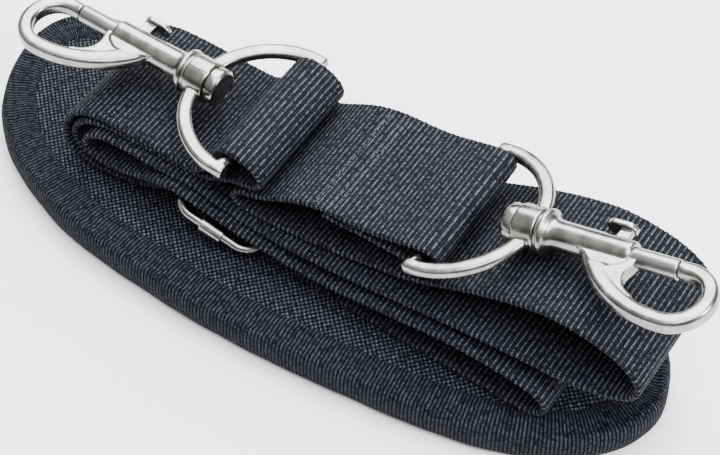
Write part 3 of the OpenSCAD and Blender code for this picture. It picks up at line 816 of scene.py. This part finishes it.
def bow_parts():
    """Flattened arms, square-cornered bar ends, bar and hub."""
    r = BOW_R + 0.35
    ring = arc((-BOW_R, 0), r, -90, 90, 91)
    share = np.abs(np.linspace(-1, 1, 91))
    flat = np.clip((1 - share) * 7, 0, 1)
    size = np.column_stack([4.5 + 0.5 * flat, 4.15 - 0.35 * flat])
    arms = sweep(ring, size, power=2.9)
    bar_line = [(-BOW_R - 0.5, BAR_R - 0.2), (-BOW_R, BAR_R), (BOW_R, BAR_R), (BOW_R + 0.5, BAR_R - 0.2)]
    bar = lathe(bar_line, 40, 1, (-BOW_R, 0, 0))
    corner_size = [(3.4, 3.2), (4.0, 3.7), (4.5, 4.15), (4.6, 4.2), (4.5, 4.15)]
    corners = []
    for s in (-1, 1):
        y = s * (BOW_R + 0.25)
        line = [(-BOW_R + dx, y, 0) for dx in (-2.35, -2.1, -1.6, 0, 1.6)]
        corners.append(sweep(line, corner_size, power=3.6))
    h = HUB_HALF
    edge = HUB_R - 0.4
    hub_line = [(-h, 2.0), (-h, edge), (-h + 0.4, HUB_R), (h - 0.4, HUB_R), (h, edge), (h, 2.0)]
    hub = lathe(hub_line, 96)
    return [arms, bar, hub] + corners


def hook_parts():
    f = HUB_HALF + 1
    barrel = lathe([
        (-3.9, 3.2), (-3.6, 3.7), (f - 0.2, POST_R - 0.02), (f, 6.9), (f + 0.2, 7.25), (f + 0.6, 7.4),
        (f + 1.3, 7.35), (f + 1.7, 7.05), (f + 2.0, 6.3), (f + 2.35, 5.6), (f + 2.9, 5.15), (f + 3.8, 4.9),
        (f + 5.5, 4.8), (20, 4.7), (33.9, 4.6), (34.6, 4.45), (35.0, 4.05), (35.05, 2.0)])
    nose = np.array([(50.3, 0, 0), (51.0, 0, 0), (52.2, 0, 0)])
    bend = arc(BEND_AT, BEND_R, 90, -90, 60)
    back = arc(BACK_AT, BACK_R, 270, 209, 60)[1:]
    path = np.vstack([nose, bend, back])
    flatness = np.concatenate([[0.0, 0.15, 0.5], np.linspace(0.8, 1, 8), np.ones(111)])
    wide = np.concatenate([np.full(63, 5.2), np.linspace(5.2, 6.6, 59)])
    wire = sweep(path, np.column_stack([wide, 6.1 - 0.9 * flatness]), power=2 + 1.1 * flatness, cols=44)
    eye_rim = [(37.4, -2.0), (37.2, -4.2), (36.7, -6.0), (36.4, -8.0), (36.8, -10.0), (38.0, -12.0),
               (40.0, -13.6), (42.5, -14.8), (44.5, -16.6)]
    under = [(x, BACK_AT[1] - math.sqrt(BACK_R**2 - (BACK_AT[0] - x) ** 2)) for x in np.linspace(23, 44, 16)]
    web = slab([(19.0, -2.0), (21.3, -3.2)] + under + eye_rim[::-1] + [(30, -1.5)], 2.25, 0.4)
    neck_line = [(17.5, -3.5), (19.6, -4.6), (22.0, -6.6), (24.5, -8.2), (31.0, -8.0), (34.5, -6.0),
                 (35.5, -3.0), (26, -2)]
    neck = slab(neck_line, 2.7, 0.9)
    return [barrel, wire, web, neck]


def hook_cuts():
    bore = lathe([(10.6, BORE_R), (50.3, BORE_R)], 48)
    slot = slab([(16, 0), (30.3, 0), (30.3, 8), (16, 8)], 2.0, 0.0)
    return [bore, slot]


def stadium(y, inset, n=20):
    """The thumb plate's oval at a height, seen along y."""
    a = np.linspace(-math.pi / 2, math.pi / 2, n)
    r = 2.75 - inset
    right = np.column_stack([28.2 + r * np.cos(a), np.full(n, y), r * np.sin(a)])
    left = np.column_stack([23.6 - r * np.cos(a), np.full(n, y), -r * np.sin(a)])
    return np.vstack([right, left])


def tab_parts():
    """Flat stem and an oval plate, dished on top inside a raised rim."""
    steps = [(8.4, 0.9), (8.4, 0.35), (8.6, 0.08), (9.0, 0.0), (9.9, 0.0), (10.15, 0.1),
             (10.25, 0.35), (10.2, 0.65), (9.95, 0.85), (9.5, 1.0), (9.35, 1.3), (9.3, 2.0)]
    rings = [stadium(y, inset) for y, inset in steps]
    flat = [(25.9, 2.4), (30.1, 2.4), (30.1, 5.0), (30.0, 8.8), (25.9, 8.8), (25.8, 5.0)]
    return [(np.vstack(rings), capped(len(rings), len(rings[0]))), slab(flat, 1.1, 0.2)]


def hook_place(hub, yaw, pitch):
    return (Matrix.Translation(Vector(hub) * MM) @ Matrix.Rotation(math.radians(yaw), 4, "Z")
            @ Matrix.Rotation(math.radians(pitch), 4, "Y"))


HOOKS = {"left": hook_place((-45.2, 7.6, 51), -1.5, 180), "right": hook_place((76.3, 8.5, 59), -1, -18.5)}
CAP = [(-4.15, 2.2), (-4.15, 5.9), (-4.35, 6.2), (-4.9, 6.3), (-6.9, 6.3), (-7.5, 6.15), (-8.0, 5.7),
       (-8.3, 5.1), (-8.35, 4.8), (-8.28, 4.5), (-8.1, 4.3), (-8.05, 3.6), (-8.1, 1.5), (-8.15, 0.4)]
BOLT = [(22.0, 2.6), (22.3, 3.02), (23, 3.1), (48.9, 3.1), (49.6, 3.0), (49.95, 2.6), (50.0, 0.4)]


def make_hooks():
    hole = lathe([(-HUB_HALF - 6, POST_R + RUN_GAP), (HUB_HALF + 6, POST_R + RUN_GAP)], 64)
    blind = lathe([(21, 2.3), (34, 2.3)], 32)
    shank = lathe([(24, 3.1), (33, 3.1)], 48)
    for side, place in HOOKS.items():
        metal = (
            ("_bow", "_bow_body", "hook_metal",
             cast(side + "_swivel_bow", bow_parts(), [hole], place, NICKEL)),
            ("_hook_body", "_hook", "hook_metal",
             cast(side + "_snap_hook", hook_parts(), hook_cuts(), place, NICKEL)),
            ("_swivel_cap", "_hook", "hook_metal", turned(side + "_peened_cap", CAP, place, NICKEL)),
            ("_bolt", "_bolt_and_tab", "steel",
             turned(side + "_gate_bolt", BOLT, place, STEEL, [blind])),
            ("_thumb_tab", "_bolt_and_tab", "hook_metal",
             cast(side + "_thumb_plate", tab_parts(), [shank], place, NICKEL, 0.16, 3)))
        for node, body, slot, ob in metal:
            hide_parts(side + node)
            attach(ob, side + body)


def make_seams():
    """Three rows of stitches where the top run is sewn to the tail below it."""
    rows = [across_web(x, z) for x, z in ((17.6, 48.6), (19.4, 48.7), (13.0, 48.0))]
    seams = stitch_rows("strap_seam_thread", rows, THREAD)
    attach(seams, "strap_assembly")
    return seams


def dress_kept_nodes():
    """Materials for the CAD nodes that stay visible."""
    for name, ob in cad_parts.items():
        if name.startswith(("strap_", "pad_")):
            continue
        mat = STEEL if name.endswith(("washer", "spring")) else NICKEL
        if not ob.data.materials:
            ob.data.materials.append(mat)
        for k in range(len(ob.data.materials)):
            ob.data.materials[k] = mat


make_hooks()
seams = make_seams()
dress_kept_nodes()


# ------------------------------------------------------------------ facts about the soft pieces
def inset_area(inset):
    """Area inside the pad's edge, in square metres, once the edge is moved inwards."""
    q, inward, _, _ = closed_curve(PAD_EDGE, 0.9)
    p = (q + inward * inset) * MM
    x, y = p.T
    return 0.5 * abs(float(np.dot(x, np.roll(y, -1)) - np.dot(y, np.roll(x, -1))))


TAPE_LENGTH = float(closed_curve(PAD_EDGE, 0.9)[3]) * MM
inset_area(TOP_INSET)
inset_area(BASE_INSET)
